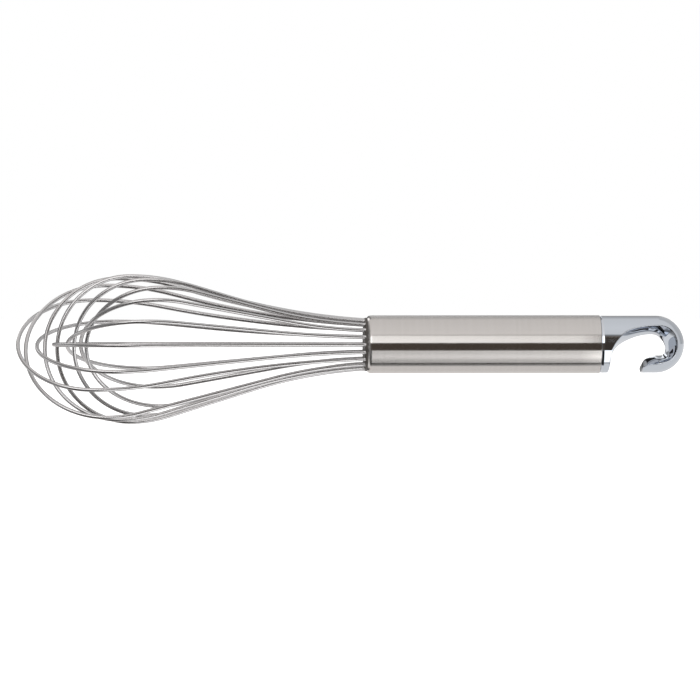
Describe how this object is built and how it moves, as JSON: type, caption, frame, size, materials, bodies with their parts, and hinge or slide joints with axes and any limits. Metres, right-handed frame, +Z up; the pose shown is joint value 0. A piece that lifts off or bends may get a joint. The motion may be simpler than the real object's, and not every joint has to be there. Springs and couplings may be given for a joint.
{
  "type": "balloon whisk",
  "caption": "Hand whisk with nested round wire loops on a plain sealed steel handle that ends in a rounded cap cut into a hanging hook.",
  "frame": {"origin": "on the whisk's axis, where the rounded nose of the handle tube meets its full diameter", "axes": "+X along the axis towards the hook, -X towards the wire balloon; the hook lies in the XZ plane with its mouth towards -Z; +Z up"},
  "size_m": [0.299, 0.0717, 0.0668],
  "materials": {
    "handle_steel": "stainless tube, brushed around its circumference",
    "cap_chrome": "mirror polished",
    "wire_steel": "bright drawn spring steel",
    "plug_dark": "matt dark resin face",
    "seal_rubber": "matt",
    "potting_resin": "cast epoxy",
    "guide_plastic": "moulded"
  },
  "bodies": {
    "root": {"handle_tube": "handle_steel", "hook_cap": "cap_chrome", "cap_seal": "seal_rubber", "front_plug": "plug_dark", "resin_core": "potting_resin", "wire_guide": "guide_plastic", "wire_loop_1": "wire_steel", "wire_loop_2": "wire_steel", "wire_loop_3": "wire_steel", "wire_loop_4": "wire_steel", "wire_loop_5": "wire_steel", "wire_loop_6": "wire_steel", "wire_loop_7": "wire_steel", "wire_loop_8": "wire_steel", "wire_loop_9": "wire_steel", "wire_loop_10": "wire_steel"}
  },
  "joints": []
}
